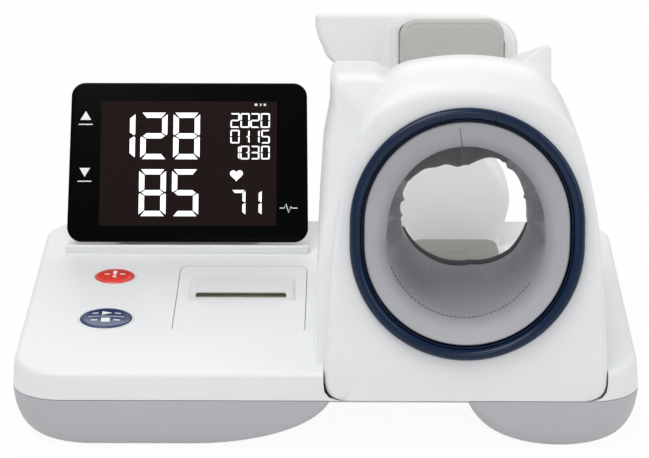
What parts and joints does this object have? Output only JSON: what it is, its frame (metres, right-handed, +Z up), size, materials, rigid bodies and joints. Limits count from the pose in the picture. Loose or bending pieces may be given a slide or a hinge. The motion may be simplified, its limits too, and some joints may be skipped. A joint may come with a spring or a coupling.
{
  "type": "arm-in blood pressure monitor",
  "caption": "Table-top blood pressure monitor with a padded arm tunnel, tilted display, push buttons, strip printer and an armrest tower.",
  "frame": {"origin": "on the floor plane, under the middle of the whole unit", "axes": "+X to the right seen from the front, +Y to the rear, +Z up"},
  "size_m": [0.49, 0.3416, 0.2976],
  "materials": {
    "white_shell": "satin white moulded plastic",
    "grey_shell": "fine-textured grey moulded plastic",
    "light_shell": "fine-textured light grey moulded plastic",
    "navy_ring": "polished navy plastic",
    "navy_button": "satin navy plastic",
    "red_button": "satin red plastic",
    "cuff_fabric": "fine woven grey nylon",
    "bladder": "thin rubber bag with foam core",
    "pad_warm": "grained warm grey pad cover",
    "pad_dark": "grained dark warm grey pad cover",
    "black_glass": "polished black panel",
    "lcd_window": "dark display window with lit segments",
    "board": "green circuit board",
    "steel": "zinc-plated steel",
    "dark_plastic": "black moulded plastic",
    "cream_plastic": "natural moulded plastic",
    "rubber": "soft black rubber",
    "paper": "thermal paper"
  },
  "bodies": {
    "base": {"lower_shell": "grey_shell", "top_cover": "white_shell", "rubber_feet": "rubber", "base_screws": "steel", "tunnel_front_shell": "white_shell", "tunnel_rear_shell": "white_shell", "cuff_drum": "cream_plastic", "ring_body": "navy_ring", "ring_top_segment": "navy_ring", "cuff_liner": "cuff_fabric", "cuff_bladder": "bladder", "rear_collar": "light_shell", "tunnel_screws": "steel", "start_button_rim": "white_shell", "emergency_button_rim": "white_shell", "start_button_spring": "steel", "emergency_button_spring": "steel", "key_board": "board", "key_switches": "dark_plastic", "door_hinge_pins": "steel", "paper_bay": "dark_plastic", "printer_frame": "dark_plastic", "print_head": "steel", "printer_motor": "steel", "display_front": "black_glass", "display_window": "lcd_window", "lcd_panel": "lcd_window", "display_board": "board", "display_back": "white_shell", "display_foot": "white_shell", "display_screws": "steel", "armrest_front": "light_shell", "armrest_back": "light_shell", "pad_frame": "light_shell", "upper_pad": "pad_warm", "elbow_tray": "light_shell", "elbow_pad": "pad_dark", "armrest_bracket": "steel", "armrest_screws": "steel", "main_board": "board", "power_supply": "steel", "power_inlet": "dark_plastic", "switch_housing": "dark_plastic", "air_pump": "steel", "release_valve": "dark_plastic", "air_hose": "rubber", "speaker": "dark_plastic", "port_plate": "steel"},
    "start_button": {"start_stop_button": "navy_button"},
    "emergency_stop": {"emergency_button": "red_button"},
    "door": {"printer_door": "white_shell"},
    "roll": {"paper_roll": "paper"},
    "platen": {"platen_roller": "rubber", "platen_gear": "cream_plastic"},
    "idler": {"idler_gear": "cream_plastic"},
    "pinion": {"motor_pinion": "steel"},
    "rocker": {"rocker_switch": "dark_plastic"}
  },
  "joints": [
    {"name": "start_press", "type": "slide", "parent": "base", "child": "start_button", "axis": [0, 0.061, -0.9981], "range_m": [0, 0.0025], "stiffness_N_per_m": 600, "springref_m": -0.001, "deforming": ["start_button_spring"]},
    {"name": "emergency_press", "type": "slide", "parent": "base", "child": "emergency_stop", "axis": [0, 0.061, -0.9981], "range_m": [0, 0.0025], "stiffness_N_per_m": 600, "springref_m": -0.001, "deforming": ["emergency_button_spring"]},
    {"name": "door_hinge", "type": "hinge", "parent": "base", "child": "door", "pos_m": [-0.07, 0.04159, 0.06973], "axis": [-1, 0, 0], "range_deg": [0, 85]},
    {"name": "paper_roll_spin", "type": "hinge", "parent": "base", "child": "roll", "pos_m": [-0.07, -0.04671, 0.0435], "axis": [1, 0, 0], "continuous": true},
    {"name": "platen_spin", "type": "hinge", "parent": "base", "child": "platen", "pos_m": [-0.07, 0.00529, 0.056], "axis": [1, 0, 0], "continuous": true},
    {"name": "idler_spin", "type": "hinge", "parent": "base", "child": "idler", "pos_m": [-0.111, 0.01254, 0.04344], "axis": [1, 0, 0], "continuous": true},
    {"name": "pinion_spin", "type": "hinge", "parent": "base", "child": "pinion", "pos_m": [-0.111, 0.01899, 0.03227], "axis": [1, 0, 0], "continuous": true},
    {"name": "rocker_tilt", "type": "hinge", "parent": "base", "child": "rocker", "pos_m": [-0.126, 0.16429, 0.055], "axis": [-1, 0, 0], "range_deg": [0, 14]}
  ],
  "couplings": [
    {"joint": "idler_spin", "follows": "platen_spin", "ratio": -0.8},
    {"joint": "pinion_spin", "follows": "platen_spin", "ratio": 1.3333}
  ]
}
